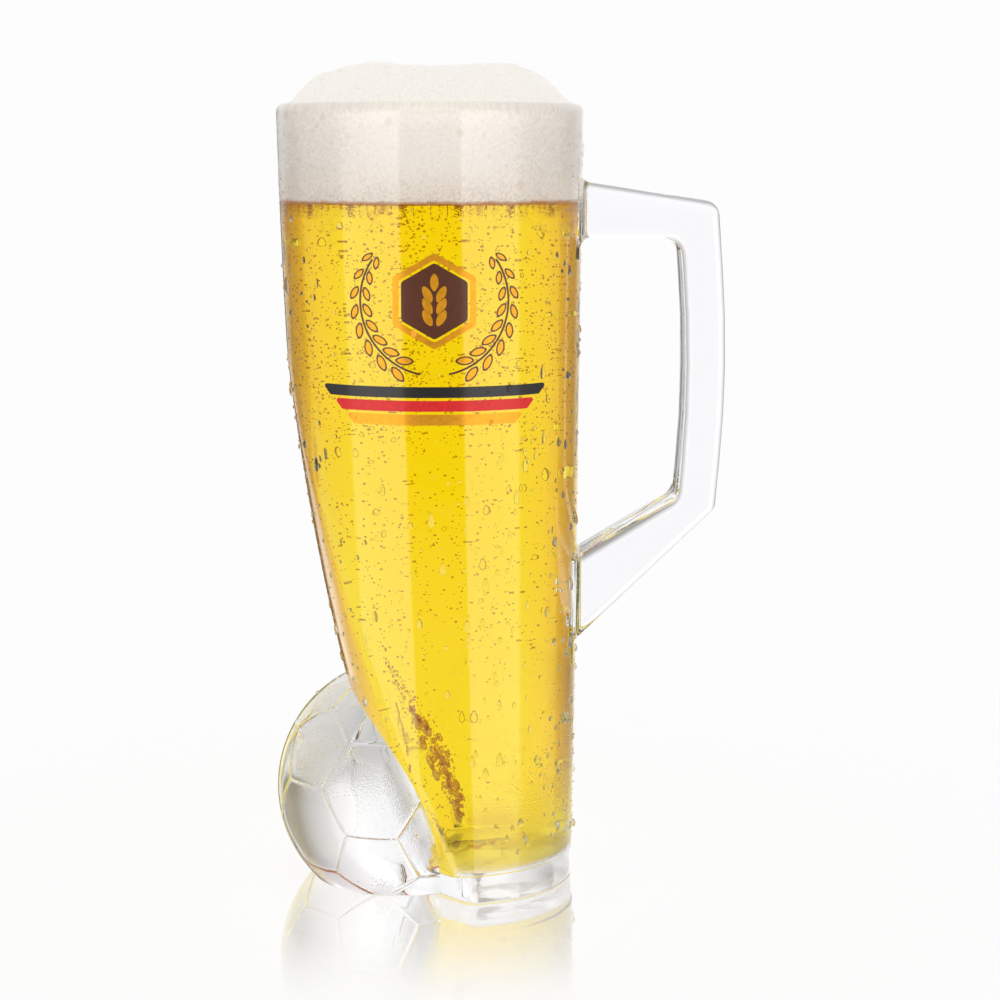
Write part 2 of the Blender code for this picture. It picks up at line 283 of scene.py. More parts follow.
def lipRings(radius, first, last):
    rings = []
    for share in shares(cup["lipSteps"], 1)[:-1]:
        angle = lerp(first, last, share)
        z = cup["height"] - lipRadius + radius * math.sin(angle)
        rings.append(cupRing(z, lipRadius - radius * math.cos(angle), 1.0))
    return rings


# the hollow from its floor up to the beer's level
def innerRings(overlap):
    inset = cup["wall"] - overlap
    low = cup["floor"] - overlap
    ridge = cup["ridgeRound"]
    rings = []
    for share in shares(cup["roundSteps"]):
        angle = share * math.pi / 2
        z = low + cup["floorRound"] * (1 - math.cos(angle))
        rings.append(cupRing(z, inset + cup["floorRound"] * (1 - math.sin(angle)), 1.0, ridge))
    for share in shares(cup["innerLevels"], 1):
        z = lerp(low + cup["floorRound"], cup["beerLevel"], share)
        rings.append(cupRing(z, inset, 1.0, ridge))
    return rings


def outerRings(inset):
    low = cup["footBand"] + cup["footStep"]
    high = cup["height"] - lipRadius
    rings = []
    for share in shares(cup["levels"]):
        rings.append(cupRing(lerp(low, high - cup["rimBand"], share), inset))
    for share in shares(cup["roundSteps"], 1):
        roundness = lerp(cup["facetRound"], 1.0, smoothStep(share))
        rings.append(cupRing(high - cup["rimBand"] * (1 - share), inset, roundness))
    return rings


def makeCup():
    foot = []
    for share in shares(cup["edgeSteps"]):  # rounded lower edge of the foot
        angle = share * math.pi / 2
        z = cup["footEdge"] * (1 - math.cos(angle))
        foot.append(cupRing(z, cup["footStep"] + cup["footEdge"] * (1 - math.sin(angle))))
    for share in shares(cup["roundSteps"], 1):
        foot.append(cupRing(lerp(cup["footEdge"], cup["footBand"], share), cup["footStep"]))
    inside = innerRings(0.0)
    for share in shares(cup["dryLevels"], 1):  # dry wall above the beer
        z = lerp(cup["beerLevel"], cup["height"] - lipRadius, share)
        inside.append(cupRing(z, cup["wall"], 1.0))
    return wrapSheet(foot + outerRings(0.0) + lipRings(lipRadius, 0.0, math.pi) + inside[::-1])


# what the ball and the handle are cut by, so that both end inside the wall
def makeCore(depth):
    below = [cupRing(-cup["coreBeyond"], depth), cupRing(0.0, depth)]
    above = [cupRing(cup["height"] + cup["coreBeyond"], depth, 1.0)]
    return wrapSheet(below + outerRings(depth)[::cup["coreSkip"]] + above)


# the ball: a pressed football of twenty six-sided and twelve five-sided panels

ball = {
    "x": -0.02498, "height": 0.0236, "radius": 0.0335, "turn": 3.8, "seamHalf": 0.00034,
    "seamDepth": 0.00024, "insets": (0.00017, 0.00018, 0.0006), "stripShare": 1.2, "alongSeam": 0.0001,
    "cuts": 8, "lift": 0.0001, "rootDepth": 0.002,
    # direction from the middle and reach of each frosted patch
    "frost": (((-0.65, -0.67, 0.36), 0.0105), ((-0.17, -0.69, -0.7), 0.005), ((-0.6, 0.7, 0.4), 0.009)),
}
ballCentre = Vector((ball["x"], 0, ball["height"]))


def seamDistance(places, arcs):
    directions = places / np.linalg.norm(places, axis=1)[:, None]
    nearest = np.full(len(places), np.inf)
    for first, last in arcs:
        normal = np.cross(first, last)
        normal /= np.linalg.norm(normal)
        inside = (directions @ np.cross(normal, first) > 0) & (directions @ np.cross(last, normal) > 0)
        toArc = np.abs(np.arcsin(np.clip(directions @ normal, -1, 1)))
        toEnd = np.arccos(np.clip(np.maximum(directions @ first, directions @ last), -1, 1))
        nearest = np.minimum(nearest, np.where(inside, toArc, toEnd))
    return nearest * ball["radius"]


def makeBall():
    bpy.ops.mesh.primitive_ico_sphere_add(subdivisions=1, radius=ball["radius"])
    piece = bpy.context.object
    third = (piece.data.vertices[0].co - piece.data.vertices[1].co).length / 3
    editMode()
    selectMesh()
    bpy.ops.mesh.bevel(offset=third, offset_type="OFFSET", segments=1, affect="VERTICES")
    objectMode()
    corners = np.array([vertex.co.normalized() for vertex in piece.data.vertices])
    arcs = [(corners[edge.vertices[0]], corners[edge.vertices[1]]) for edge in piece.data.edges]
    editMode()
    bpy.ops.mesh.select_mode(type="FACE")
    selectMesh()
    for width in ball["insets"]:
        bpy.ops.mesh.inset(thickness=width, use_individual=True)
    bpy.ops.mesh.poke()
    # edges across a seam stay whole, the others are divided
    mesh = bmesh.from_edit_mesh(piece.data)
    mesh.verts.ensure_lookup_table()
    distances = seamDistance(np.array([vertex.co[:] for vertex in mesh.verts]), arcs)
    strip = sum(ball["insets"]) * ball["stripShare"]
    bpy.ops.mesh.select_mode(type="EDGE")
    for edge in mesh.edges:
        first, last = (distances[vertex.index] for vertex in edge.verts)
        across = abs(first - last) > ball["alongSeam"] and max(first, last) < strip
        edge.select_set(not across)
    bmesh.update_edit_mesh(piece.data)
    bpy.ops.mesh.subdivide(number_cuts=ball["cuts"], quadcorner="INNERVERT")
    objectMode()
    places = np.array([vertex.co[:] for vertex in piece.data.vertices])
    share = np.clip(seamDistance(places, arcs) / ball["seamHalf"], 0, 1)
    reach = ball["radius"] - ball["seamDepth"] * 0.5 * (1 + np.cos(math.pi * share))
    places *= (reach / np.linalg.norm(places, axis=1))[:, None]
    piece.data.vertices.foreach_set("co", places.astype(np.float32).ravel())
    turn = Matrix.Rotation(math.radians(ball["turn"]), 4, "Z")
    piece.data.transform(Matrix.Translation(ballCentre) @ turn)
    editMode()
    selectMesh()
    bpy.ops.mesh.bisect(
        plane_co=(0, 0, ball["lift"]), plane_no=(0, 0, 1), use_fill=True, clear_inner=True,
    )
    faceOutwards()
    objectMode()
    applyBoolean(piece, makeCore(ball["rootDepth"]), "DIFFERENCE")
    return piece


# the handle: a flat bent bar with rounded edges, flowing into the cup at both roots

handle = {
    "depth": 0.019, "frontEdge": 0.0022, "rearEdge": 0.0009, "reach": 0.05974, "middleZ": 0.136,
    "thickness": 0.0104, "bow": 0.0033, "topZ": 0.1832, "topDrop": 0.0054, "topThickness": 0.0144,
    "lowCornerZ": 0.0986, "lowRootZ": 0.0637, "lowRootHeight": 0.0217, "gapLowZ": 0.1016,
    "rootInside": 0.0009, "rootReach": 0.006, "rootRound": 0.003, "gapRootRound": 0.0016,
    "topCornerRound": 0.0042, "lowCornerRound": 0.0032, "gapTopRound": 0.0048, "gapLowRound": 0.0038,
    "gripRound": 0.3, "arcStep": 6, "arcLeast": 4, "edgeSteps": 6, "gapBow": 0.0028,
    "flare": 0.0022, "flareRows": 8, "flareStart": 0.5, "flareSpan": 1.6,
}


# each corner is given as x, z and the radius that rounds it
def roundedOutline(corners):
    outline = []
    points = [Vector(corner[:2]) for corner in corners]
    for place, corner in enumerate(points):
        radius = corners[place][2]
        if radius == 0:
            outline.append(corner)
            continue
        before = (points[place - 1] - corner).normalized()
        after = (points[(place + 1) % len(points)] - corner).normalized()
        half = before.angle(after) / 2
        centre = corner + (before + after).normalized() * (radius / math.sin(half))
        start = corner + before * (radius / math.tan(half)) - centre
        turn = math.pi - 2 * half
        side = 1 if before.cross(after) < 0 else -1
        steps = max(math.ceil(turn / math.radians(handle["arcStep"])), handle["arcLeast"])
        for step in range(steps + 1):
            outline.append(centre + Matrix.Rotation(side * turn * step / steps, 2) @ start)
    return outline


def handleOutline():
    topZ, lowZ, root = handle["topZ"], handle["lowRootZ"], handle["rootReach"]
    topHeel = sum(legAt(topZ)) - handle["rootInside"]
    lowHeel = sum(legAt(lowZ)) - handle["rootInside"]
    inside = lowHeel - cup["wall"]
    gapTop = topZ - handle["topThickness"]
    gapRoot = lowZ + handle["lowRootHeight"]
    grip = handle["reach"] - handle["bow"]
    gapReach = handle["reach"] - handle["thickness"]
    gapSide = gapReach - handle["gapBow"]
    return roundedOutline([
        (inside, topZ + root, 0),
        (topHeel, topZ + root, 0),
        (topHeel, topZ, handle["rootRound"]),
        (grip, topZ - handle["topDrop"], handle["topCornerRound"]),
        (handle["reach"], handle["middleZ"], handle["gripRound"]),
        (grip, handle["lowCornerZ"], handle["lowCornerRound"]),
        (lowHeel, lowZ, handle["rootRound"]),
        (lowHeel, lowZ - root, 0),
        (inside, lowZ - root, 0),
        (inside, gapRoot + root, 0),
        (lowHeel, gapRoot + root, 0),
        (lowHeel, gapRoot, handle["gapRootRound"]),
        (gapSide, handle["gapLowZ"], handle["gapLowRound"]),
        (gapReach, handle["middleZ"], handle["gripRound"]),
        (gapSide, gapTop, handle["gapTopRound"]),
        (topHeel, gapTop, handle["rootRound"]),
        (topHeel, gapTop - root, 0),
        (inside, gapTop - root, 0),
    ])


def makeHandle():
    outline = handleOutline()
    bpy.ops.mesh.primitive_circle_add(vertices=len(outline), radius=0.01, fill_type="NGON")
    piece = bpy.context.object
    for vertex, point in zip(piece.data.vertices, outline):
        vertex.co = (point.x, -handle["depth"] / 2, point.y)
    editMode()
    selectMesh()
    bpy.ops.mesh.extrude_region_move(TRANSFORM_OT_translate={"value": (0, handle["depth"], 0)})
    faceOutwards()
    bpy.ops.mesh.select_mode(type="EDGE")
    for side, width in ((1, handle["rearEdge"]), (-1, handle["frontEdge"])):
        bpy.ops.mesh.select_all(action="DESELECT")
        mesh = bmesh.from_edit_mesh(piece.data)
        for edge in mesh.edges:
            onFace = any(len(face.verts) > 4 for face in edge.link_faces)
            edge.select_set(onFace and all(vertex.co.y * side > 0 for vertex in edge.verts))
        bmesh.update_edit_mesh(piece.data)
        bpy.ops.mesh.bevel(offset=width, segments=handle["edgeSteps"], affect="EDGES")
    # rows of points across both roots, where the bar widens into the cup
    heel = sum(legAt(handle["topZ"]))
    for row in range(handle["flareRows"]):
        selectMesh()
        share = handle["flareStart"] - handle["flareSpan"] * row / handle["flareRows"]
        bpy.ops.mesh.bisect(plane_co=(heel + handle["flare"] * share, 0, 0), plane_no=(1, 0, 0))
    objectMode()
    for vertex in piece.data.vertices:
        into = sum(legAt(vertex.co.z)) + handle["flare"] / 2 - vertex.co.x
        into = min(max(into, 0.0), handle["flare"])
        out = handle["flare"] - math.sqrt(handle["flare"] ** 2 - into ** 2)
        vertex.co.y *= 1 + out / (handle["depth"] / 2)
    applyBoolean(piece, makeCore(ball["rootDepth"]), "DIFFERENCE")
    return piece


# materials

mist = {"amount": 0.3, "ragged": 0.007, "softEdge": 0.6, "frostGrain": 1.2}


# condensed mist: fine grain on the ball, the foot and beside the froth, frosted patches on the ball
def addMist(add, place, bump):
    axes = add("SeparateXYZ", {"Vector": place}).outputs
    low = add("MapRange", {
        "Value": axes["Z"], "From Min": 0.035, "From Max": 0.06, "To Min": mist["amount"],
        "To Max": 0.0,
    })
    patches = add("TexNoise", {"Vector": place, "Scale": 46.0, "Detail": 1.0})  # 22 mm across
    misted = add("MapRange", {"Value": patches, "From Min": 0.55, "From Max": 0.66})
    below = add("Math", {0: low, 1: misted}, operation="MULTIPLY")
    high = add("MapRange", {
        "Value": axes["Z"], "From Min": 0.17, "From Max": 0.18, "To Max": mist["amount"],
    })
    aside = add("Math", {0: axes["X"], 1: cup["rimX"]}, operation="SUBTRACT")
    apart = add("Math", {0: aside}, operation="ABSOLUTE")
    sides = add("MapRange", {
        "Value": apart, "From Min": 0.008, "From Max": 0.03, "To Min": 0.15, "To Max": 1.0,
    })
    amount = add("Math", {0: high, 1: sides, 2: below}, operation="MULTIPLY_ADD")
    rough = add("TexNoise", {"Vector": place, "Scale": 260.0, "Detail": 3.0})  # 4 mm
    rim = mist["ragged"] / 2
    frost = 0.0
    for way, reach in ball["frost"]:
        middle = ballCentre + Vector(way) * ball["radius"]
        fromMiddle = add("VectorMath", {0: place, 1: middle}, operation="DISTANCE")
        ragged = add("Math", {0: rough, 1: mist["ragged"], 2: fromMiddle}, operation="MULTIPLY_ADD")
        patch = add("MapRange", {
            "Value": ragged, "From Min": reach + rim, "From Max": reach * mist["softEdge"] + rim,
            "To Max": mist["amount"],
        })
        frost = add("Math", {0: patch, 1: frost}, operation="MAXIMUM")
    amount = add("Math", {0: frost, 1: mist["frostGrain"], 2: amount}, operation="MULTIPLY_ADD")
    grains = add("TexVoronoi", {"Vector": place, "Scale": 2400.0})  # 0.4 mm beads of water
    grainy = add("Bump", {"Height": grains, "Strength": amount, "Distance": 0.0002, "Normal": bump})
    return frost, grainy


# pressed soda-lime glass: clear, slightly wavy from the mould, so what is behind it swims a little
def makeGlass(name, tint, misted):
    material, add = newMaterial(name)
    place = add("TexCoord").outputs["Object"]
    wave = add("TexNoise", {"Vector": place, "Scale": 70.0, "Detail": 2.0})  # 14 mm waves
    bump = add("Bump", {"Height": wave, "Strength": 0.12, "Distance": 0.0012})
    frost = 0.0
    if misted:
        frost, bump = addMist(add, place, bump)
    shader = add("BsdfPrincipled", {
        "Base Color": hexColor("#FDFDFF"), "Roughness": frost, "IOR": 1.52, "Transmission Weight": 1.0,
        "Specular Tint": hexColor(tint), "Normal": bump,
    })
    add("OutputMaterial", {"Surface": shader})
    return material


# lager: clear golden liquid, deeper in colour where more of it is looked through
def makeBeerMaterial():
    material, add = newMaterial("lagerBeer")
    shader = add("BsdfPrincipled", {
        "Base Color": hexColor("#FFFFFF"), "Roughness": 0.0, "IOR": 1.34, "Transmission Weight": 1.0,
        "Specular Tint": hexColor("#000000"),  # it wets the glass, so the wall behind it doesn't mirror
    })
    volume = add("VolumeAbsorption", {"Color": hexColor("#FFF800"), "Density": 85.0})
    add("OutputMaterial", {"Surface": shader, "Volume": volume})
    return material


# heights above the beer's level for the soaked band, which is partly painted shade, and for the painted
# shade in the cells, and how ragged the soaked edge is
skin = {"ragged": -0.0016, "soakShadeFrom": -0.0014, "soakShadeTo": -0.0004, "cellShadeFrom": 0.007, "cellShadeTo": 0.001}


# beer froth: very fine matte bubbles, soaked and browner in the last millimetre above the beer, a brown
# that is partly beer in the froth and partly painted shade
def makeFoamMaterial():
    material, add = newMaterial("beerFroth")
    level = cup["beerLevel"]
    place = add("TexCoord").outputs["Object"]
    cells = add("TexVoronoi", {"Vector": place, "Scale": 1400.0})  # 0.7 mm, coarser so that they show
    blotches = add("TexNoise", {"Vector": place, "Scale": 260.0, "Detail": 4.0})  # 4 mm
    axes = add("SeparateXYZ", {"Vector": place}).outputs
    ragged = add("Math", {0: blotches, 1: skin["ragged"], 2: axes["Z"]}, operation="MULTIPLY_ADD")
    # partly painted shade: the froth's lower edge is drawn brown, for beer soaked into it and for the
    # shade between its bubbles
    soakedAndShaded = add("MapRange", {
        "Value": ragged, "From Min": level + skin["soakShadeFrom"], "From Max": level + skin["soakShadeTo"],
        "To Min": 0.0, "To Max": 1.0,
    })
    tone = add("Mix", {0: soakedAndShaded, "A": hexColor("#D2923A"), "B": hexColor("#FBF6EE")}, data_type="RGBA")
    # a few tan spots where large bubbles have burst against the wall
    spots = add("TexVoronoi", {"Vector": place, "Scale": 120.0})  # 8 mm apart
    burst = add("MapRange", {
        "Value": spots, "From Min": 0.06, "From Max": 0.16, "To Min": 0.26, "To Max": 0.0,
    })
    spotted = add("Mix", {0: burst, "A": tone, "B": hexColor("#D2B88A")}, data_type="RGBA")
    # against the wall its cells show, most at both sides and just above the beer, where they are drawn
    # dark as painted shade
    aside = add("Math", {0: axes["X"], 1: cup["rimX"]}, operation="SUBTRACT")
    apart = add("Math", {0: aside}, operation="ABSOLUTE")
    sides = add("MapRange", {"Value": apart, "From Min": 0.012, "From Max": 0.032})
    near = add("MapRange", {
        "Value": axes["Z"], "From Min": level + skin["cellShadeFrom"], "From Max": level + skin["cellShadeTo"],
    })
    most = add("Math", {0: sides, 1: near}, operation="MAXIMUM")
    inGlass = add("Math", {0: axes["Z"], 1: cup["height"]}, operation="LESS_THAN")
    shown = add("Math", {0: most, 1: inGlass}, operation="MULTIPLY")
    # painted shade: the cells darken the froth at both sides and just above the beer
    deepestShade = add("MapRange", {"Value": shown, "To Min": 0.92, "To Max": 0.72})
    speckleAndShade = add("MapRange", {"Value": cells, "To Min": 1.03, "To Max": deepestShade})
    shade = add("HueSaturation", {"Color": spotted, "Value": speckleAndShade})
    bump = add("Bump", {"Height": cells, "Strength": 0.3, "Distance": 0.0003})
    shader = add("BsdfPrincipled", {
        "Base Color": shade, "Roughness": 0.7, "Subsurface Weight": 0.3,
        "Subsurface Radius": (0.004, 0.0035, 0.003), "Subsurface Scale": 1.0, "Normal": bump,
    })
    add("OutputMaterial", {"Surface": shader})
    return material


# carbon dioxide: gas bubbles that bend light the other way, so they look dark rimmed and amber
def makeGasMaterial():
    material, add = newMaterial("carbonDioxide")
    shader = add("BsdfGlass", {"Color": hexColor("#F6E7B4"), "Roughness": 0.0, "IOR": 0.746})
    add("OutputMaterial", {"Surface": shader})
    return material


# condensed water: clear beads that act as small lenses
def makeWaterMaterial():
    material, add = newMaterial("condensedWater")
    shader = add("BsdfPrincipled", {
        "Base Color": hexColor("#FFFFFF"), "Roughness": 0.0, "IOR": 1.333, "Transmission Weight": 1.0,
    })
    add("OutputMaterial", {"Surface": shader})
    return material


# fired enamel: screen print with a soft gloss, a little uneven in the ink
def makeEnamel(name, tone, metal=0.0):
    material, add = newMaterial(name)
    place = add("TexCoord").outputs["Object"]
    ink = add("TexNoise", {"Vector": place, "Scale": 900.0, "Detail": 3.0})  # 1 mm
    thin = add("MapRange", {
        "Value": ink, "From Min": 0.3, "From Max": 0.7, "To Min": 0.86, "To Max": 1.08,
    })
    color = add("HueSaturation", {"Color": hexColor(tone), "Value": thin})
    shader = add("BsdfPrincipled", {
        "Base Color": color, "Roughness": 0.35, "IOR": 1.5, "Metallic": metal,
    })
    add("OutputMaterial", {"Surface": shader})
    return material


glass = makeGlass("sodaLimeGlass", "#FFFFFF", True)
wettedGlass = makeGlass("wettedSodaLimeGlass", "#000000", False)  # under the beer it hardly mirrors
beerMaterial = makeBeerMaterial()
frothMaterial = makeFoamMaterial()
gasMaterial = makeGasMaterial()
waterMaterial = makeWaterMaterial()
brownEnamel = makeEnamel("brownEnamel", "#5A2A0E")
goldEnamel = makeEnamel("goldEnamel", "#F0A41C", 0.55)  # metal powder in it mirrors the dark front
redEnamel = makeEnamel("redEnamel", "#DE1414")
blackEnamel = makeEnamel("blackEnamel", "#1E1A18")

# glass in one piece, as it is pressed

def makeMug():
    mug = makeCup()
    applyBoolean(mug, makeBall(), "UNION")
    applyBoolean(mug, makeHandle(), "UNION")
    takeOnly(mug)
    editMode()
    selectMesh()
    bpy.ops.mesh.remove_doubles(threshold=weld["casting"])
    bpy.ops.mesh.dissolve_degenerate(threshold=weld["sliver"])
    objectMode()
    finishPiece(mug, "mugGlass", glass, ("glass_body", "glass_ball", "glass_handle"))
    return mug


# the drink, which overlaps the glass a little so that no air is between them
drink = {"overlap": 0.00006, "foamSink": 0.0009, "touch": 0.0003}


def makeBeer():
    piece = wrapSheet(innerRings(drink["overlap"]))
    finishPiece(piece, "beerFill", beerMaterial, ("beer",))
    return piece


# the glass that the beer touches gets its own material
def wetInside(mug, beer):
    mug.data.materials.append(wettedGlass)
    tree = BVHTree.FromObject(beer, bpy.context.evaluated_depsgraph_get())
    for face in mug.data.polygons:
        if face.center.z < cup["beerLevel"] and tree.find_nearest(face.center, drink["touch"])[0]:
            face.material_index = 1


froth = {
    "rise": 0.0096, "shoulder": 8.0, "slope": 1.9, "span": 0.985, "lump": 0.0005, "lumpPitch": 0.029,
    "lumpX": -0.03096, "rings": 64, "swell": 0.0005, "swellSize": 0.009, "grain": 0.00012,
    "grainSize": 0.0018, "fold": 0.0011, "foldSize": 0.0075, "foldLine": 6, "foldFrom": 0.3,
    "foldTo": 0.75, "foldMiddle": 0.25, "foldShift": (3.1, 0.4, 1.7), "edgeHeight": 0.0009,
    "edgeInset": 0.0012, "edgeSteps": 6, "wallSteps": 20, "lipEnd": 0.54, "pleat": 0.0005,
    "pleatAt": 0.66, "pleatWide": 0.035, "pleatWander": 0.05, "pleatSize": 0.02, "pleatMiddle": 0.2,
    "pleatShift": (0.2, 5.3, 0.9),
}


# lumps, swells, fine grain, folds and one pleat round the dome, as a height at x, y
def frothRelief(x, y, share, across):
    place = Vector((x, y, 0.0))
    lump = math.cos(2 * math.pi * (x - froth["lumpX"]) / froth["lumpPitch"])
    lump += math.cos(2 * math.pi * y / froth["lumpPitch"])
    swell = froth["swell"] * noise.noise(place / froth["swellSize"])
    grain = froth["grain"] * noise.noise(place / froth["grainSize"])
    toSide = abs(x - cup["rimX"]) / across
    end = smoothStep((toSide - froth["foldFrom"]) / (froth["foldTo"] - froth["foldFrom"]))
    crease = 1 - abs(noise.noise(place / froth["foldSize"] + Vector(froth["foldShift"])))
    grain -= froth["fold"] * crease ** froth["foldLine"] * lerp(froth["foldMiddle"], 1, end)
    wander = noise.noise(place / froth["pleatSize"] + Vector(froth["pleatShift"]))
    fromPleat = (share - froth["pleatAt"] - froth["pleatWander"] * wander) / froth["pleatWide"]
    grain -= froth["pleat"] * math.exp(-fromPleat ** 2) * lerp(froth["pleatMiddle"], 1, end)
    return froth["lump"] * lump + swell + grain


def makeFroth():
    inset = cup["wall"] - drink["overlap"]
    low = cup["beerLevel"] - drink["foamSink"]
    high = cup["height"] - lipRadius
    rings = []
    for share in shares(froth["edgeSteps"]):  # the lower edge curls in where it floats
        z = low + froth["edgeHeight"] * share
        rings.append(cupRing(z, inset + froth["edgeInset"] * (1 - share) ** 2, 1.0))
    for share in shares(froth["wallSteps"], 1):
        rings.append(cupRing(lerp(low + froth["edgeHeight"], high, share), inset, 1.0))
    inner = math.pi * froth["lipEnd"]  # it stands on the lip's crest
    rings += lipRings(lipRadius - drink["overlap"], math.pi, inner)
    across = cup["rimRadius"] - lipRadius + lipRadius * math.cos(inner)
    base = high + lipRadius * math.sin(inner) - drink["overlap"]
    for ring in shares(froth["rings"]):
        share = math.cos(froth["span"] * ring * math.pi / 2)
        dome = 1 - share ** froth["shoulder"]
        row = []
        for angle in aroundAngles:
            x = cup["rimX"] + across * share * math.cos(angle)
            y = across * share * math.sin(angle)
            z = base + froth["rise"] * dome ** froth["slope"]
            row.append((x, y, z + frothRelief(x, y, share, across) * dome))
        rings.append(np.array(row))
    piece = wrapSheet(rings)
    finishPiece(piece, "frothHead", frothMaterial, ("foam_head",), angle=60)


mug = makeMug()
beer = makeBeer()
wetInside(mug, beer)
makeFroth()
mugTree = BVHTree.FromObject(mug, bpy.context.evaluated_depsgraph_get())

# gas bubbles: free in the beer, crowded under the froth, and caught in a streak beside the shin's ridge
bubbles = {
    # number, low and high end
    "free": ((1900, 0.118, 0.1765), (900, 0.06, 0.15), (260, 0.012, 0.1)),
    "freeSize": (0.00014, 0.00036), "fromWall": 0.0008, "flat": 0.9,
    "crowd": 3000, "crowdDepth": 0.003, "crowdSize": (0.0001, 0.0002), "crowdOff": (0.0004, 0.0016),
    # number, low and high end, x at the low end, run, bend, half width, sizes, stretch
    "streaks": (
        (150, 0.021, 0.052, -0.0104, 0.0035, 0.0087, 0.0034, 0.00018, 0.00085, 2.8),
        (520, 0.022, 0.064, -0.01, 0.0113, 0.0071, 0.0036, 0.0001, 0.0003, 1.6),
        (34, 0.035, 0.053, -0.0214, 0.0044, 0.0, 0.0002, 0.00012, 0.0002, 7.0),
    ),
    "streakOff": (0.0002, 0.0012), "streakTaper": (0.06, 0.96), "scatter": 0.5, "scatterMost": 0.9,
}


def makeBubbleSeed(segments, rings):
    deselect()
    bpy.ops.mesh.primitive_uv_sphere_add(segments=segments, ring_count=rings, radius=1)
    seed = bpy.context.object
    editMode()
    selectMesh()
    bpy.ops.transform.resize(value=(1, 1, bubbles["flat"]))  # a little flat, as rising bubbles are
    objectMode()
    bpy.ops.object.shade_smooth()
    return seed


def bubbleAt(place, radius):
    return Matrix.Translation(Vector(place)) @ Matrix.Scale(radius, 4)


def wallRing(z, away):
    return cupRing(z, cup["wall"] + away, 1.0, cup["ridgeRound"])


def freeBubbles():
    places = []
    for count, low, high in bubbles["free"]:
        for step in range(count):
            ring = wallRing(lerp(low, high, random.random()), bubbles["fromWall"])
            radius = lerp(*bubbles["freeSize"], random.random() ** 2)
            middle = ring.mean(axis=0)
            edge = ring[random.randrange(len(ring))]
            places.append(bubbleAt(middle + (edge - middle) * math.sqrt(random.random()), radius))
    return places


def crowdBubbles():
    places = []
    top = cup["beerLevel"] - drink["foamSink"]
    for step in range(bubbles["crowd"]):
        z = top - bubbles["crowdDepth"] * random.random() ** 2
        ring = wallRing(z, lerp(*bubbles["crowdOff"], random.random()))
        place = ring[random.randrange(len(ring))]
        places.append(bubbleAt(place, lerp(*bubbles["crowdSize"], random.random())))
    return places


# bubbles that cling to the wall in lines, each drawn out along its line
def streakBubbles():
    places = []
    most = bubbles["scatterMost"]
    for count, low, high, lowX, run, bend, half, small, large, stretch in bubbles["streaks"]:
        for step in range(count):
            share = random.random()
            z = lerp(low, high, share)
            spread = half * math.sin(math.pi * lerp(*bubbles["streakTaper"], share))
            x = lowX - run * share - bend * share * share
            x += spread * min(max(random.gauss(0, bubbles["scatter"]), -most), most)
            radius = lerp(small, large, random.random() ** 2)
            ring = wallRing(z, radius + lerp(*bubbles["streakOff"], random.random()))
            front = ring[ring[:, 1] < 0]
            place = front[np.argmin(np.abs(front[:, 0] - x))]
            along = Vector((-run - 2 * bend * share, 0, high - low))
            turn = along.to_track_quat("Z", "Y").to_matrix().to_4x4()
            long = Matrix.Diagonal((1, 1, lerp(1, stretch, random.random()), 1))
            places.append(bubbleAt((x, place[1], z), radius) @ turn @ long)
    return places


def makeBubbles():
    for name, segments, rings, findPlaces in (
        ("beerBubbles", 7, 5, freeBubbles),
        ("caughtBubbles", 6, 4, crowdBubbles),
        ("streakBubbles", 8, 6, streakBubbles),
    ):
        piece = copySeed(makeBubbleSeed(segments, rings), findPlaces())
        finishPiece(piece, name, gasMaterial, (), angle=180)


makeBubbles()

# print: a six-sided field in a ring between two ears of barley, over three bars
decal = {
    "x": -0.01626, "lift": 0.00002, "thickness": 0.00006, "emblemZ": 0.1545, "field": 0.0094,
    "fieldRound": 0.0012, "ringInner": 0.0101, "ringOuter": 0.0118, "earArc": 0.0182, "earStart": 250,
    "earEnd": 140, "kernels": 8, "kernelLength": 0.0048, "kernelWidth": 0.0023, "kernelOut": 0.0019,
    "kernelTilt": 24, "tipSmaller": 0.55, "outline": 0.00036, "endOutline": 1.5, "lensPoints": 16,
    "lensPower": 0.35, "stalk": 0.0005, "stalkShort": (9, 6), "stalkSteps": 24, "barTop": 0.1335,
    "barHeight": 0.0027, "barPitch": 0.0034, "barLength": 0.056, "barShorter": 0.006,
    "barSlant": 0.002, "barRound": 0.0006, "motifRows": 3, "motifPitch": 0.0029, "motifRaise": 0.2,
    "motifOut": 0.0017, "motifTilt": 28, "motifLength": 0.0044, "motifWidth": 0.0021,
    "shellLow": 0.115, "shellHigh": 0.185, "shellSteps": 48, "prismY": -0.006, "prismDepth": -0.05,
}


def makePrintShell():
    steps = shares(decal["shellSteps"])
    levels = [lerp(decal["shellLow"], decal["shellHigh"], share) for share in steps]
    outer = [cupRing(z, -decal["lift"] - decal["thickness"]) for z in levels]
    inner = [cupRing(z, -decal["lift"]) for z in levels]
    return wrapSheet(outer + inner[::-1], looped=True)


# a flat outline pushed through the front of the cup
def makePrism(outline):
    deselect()
    bpy.ops.mesh.primitive_circle_add(vertices=len(outline), radius=0.01, fill_type="NGON")
    prism = bpy.context.object
    for vertex, point in zip(prism.data.vertices, outline):
        vertex.co = (point[0], decal["prismY"], point[1])
    editMode()
    selectMesh()
    bpy.ops.mesh.extrude_region_move(TRANSFORM_OT_translate={"value": (0, decal["prismDepth"], 0)})
    faceOutwards()
    objectMode()
    return prism


def joinPrisms(prisms):
    deselect()
    for prism in prisms:
        prism.select_set(True)
    bpy.context.view_layer.objects.active = prisms[0]
    if len(prisms) > 1:
        bpy.ops.object.join()
    return bpy.context.view_layer.objects.active


